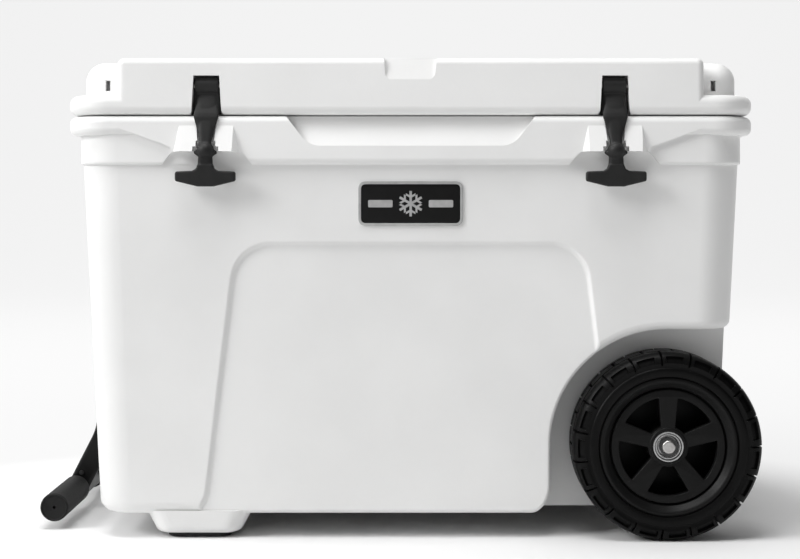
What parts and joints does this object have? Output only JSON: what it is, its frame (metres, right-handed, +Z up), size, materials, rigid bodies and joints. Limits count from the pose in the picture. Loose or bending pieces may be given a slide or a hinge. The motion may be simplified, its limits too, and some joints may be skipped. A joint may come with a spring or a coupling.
{
  "type": "cooler on wheels",
  "caption": "Hard-sided insulated cooler with rubber T-latches, a hinged lid, large wheels and a swing-out tow handle.",
  "frame": {"origin": "on the ground, under the middle of the whole object", "axes": "+X towards the wheels, -X towards the tow handle, -Y the latch side, +Z up"},
  "size_m": [0.754, 0.4972, 0.494],
  "materials": {
    "moulded_shell": "satin",
    "insulation": "matte",
    "seal": "matte",
    "latch_rubber": "satin",
    "foot_rubber": "matte",
    "grip_rubber": "matte",
    "tyre": "satin",
    "wheel_plastic": "satin",
    "black_plastic": "satin",
    "bearing_steel": "satin",
    "steel": "satin",
    "arm_black": "satin",
    "bar_grey": "satin",
    "plate": "satin"
  },
  "bodies": {
    "chest": {"body_shell": "moulded_shell", "body_foam": "insulation", "foot_pad_front": "foot_rubber", "foot_pad_rear": "foot_rubber", "foot_pad_screws": "steel", "nameplate": "plate", "axle": "bearing_steel", "axle_clips": "bearing_steel", "wheel_spacers": "black_plastic", "hinge_pin_left": "steel", "hinge_pin_right": "steel", "hinge_pin_screws": "steel", "handle_pivot_rod": "steel", "handle_rod_caps": "black_plastic"},
    "lid": {"lid_shell": "moulded_shell", "lid_foam": "insulation", "lid_gasket": "seal", "latch_pin_left": "steel", "latch_pin_right": "steel"},
    "latch_left": {"latch_left": "latch_rubber"},
    "latch_right": {"latch_right": "latch_rubber"},
    "wheel_front": {"wheel_rim_front": "wheel_plastic", "tyre_front": "tyre", "wheel_bearings_front": "bearing_steel"},
    "wheel_rear": {"wheel_rim_rear": "wheel_plastic", "tyre_rear": "tyre", "wheel_bearings_rear": "bearing_steel"},
    "handle": {"handle_arm_front": "arm_black", "handle_arm_rear": "arm_black", "handle_crossbar": "bar_grey", "grip_front": "grip_rubber", "grip_rear": "grip_rubber", "handle_spacer": "black_plastic", "handle_bushes": "black_plastic", "handle_screws": "steel"},
    "drain_washer": {"drain_gasket": "seal"},
    "drain_plug": {"drain_plug": "black_plastic"}
  },
  "joints": [
    {"name": "lid_hinge", "type": "hinge", "parent": "chest", "child": "lid", "pos_m": [0.016, 0.236, 0.436], "axis": [-1, 0, 0], "range_deg": [0, 105]},
    {"name": "latch_left_swing", "type": "hinge", "parent": "lid", "child": "latch_left", "pos_m": [-0.192, -0.226, 0.4665], "axis": [-1, 0, 0], "range_deg": [0, 100]},
    {"name": "latch_right_swing", "type": "hinge", "parent": "lid", "child": "latch_right", "pos_m": [0.224, -0.226, 0.4665], "axis": [-1, 0, 0], "range_deg": [0, 100]},
    {"name": "wheel_front_spin", "type": "hinge", "parent": "chest", "child": "wheel_front", "pos_m": [0.28, -0.197, 0.097], "axis": [0, 1, 0], "continuous": true},
    {"name": "wheel_rear_spin", "type": "hinge", "parent": "chest", "child": "wheel_rear", "pos_m": [0.28, 0.197, 0.097], "axis": [0, 1, 0], "continuous": true},
    {"name": "handle_swing", "type": "hinge", "parent": "chest", "child": "handle", "pos_m": [-0.328, 0, 0.384], "axis": [0, 1, 0], "range_deg": [0, 130]},
    {"name": "drain_out", "type": "slide", "parent": "chest", "child": "drain_washer", "axis": [-1, 0, 0], "range_m": [0, 0.0121]},
    {"name": "drain_turn", "type": "hinge", "parent": "drain_washer", "child": "drain_plug", "pos_m": [-0.306, 0.095, 0.08], "axis": [-1, 0, 0], "range_deg": [0, 1440]}
  ],
  "couplings": [
    {"joint": "drain_out", "follows": "drain_turn", "m_per_rad": 0.00047746}
  ]
}
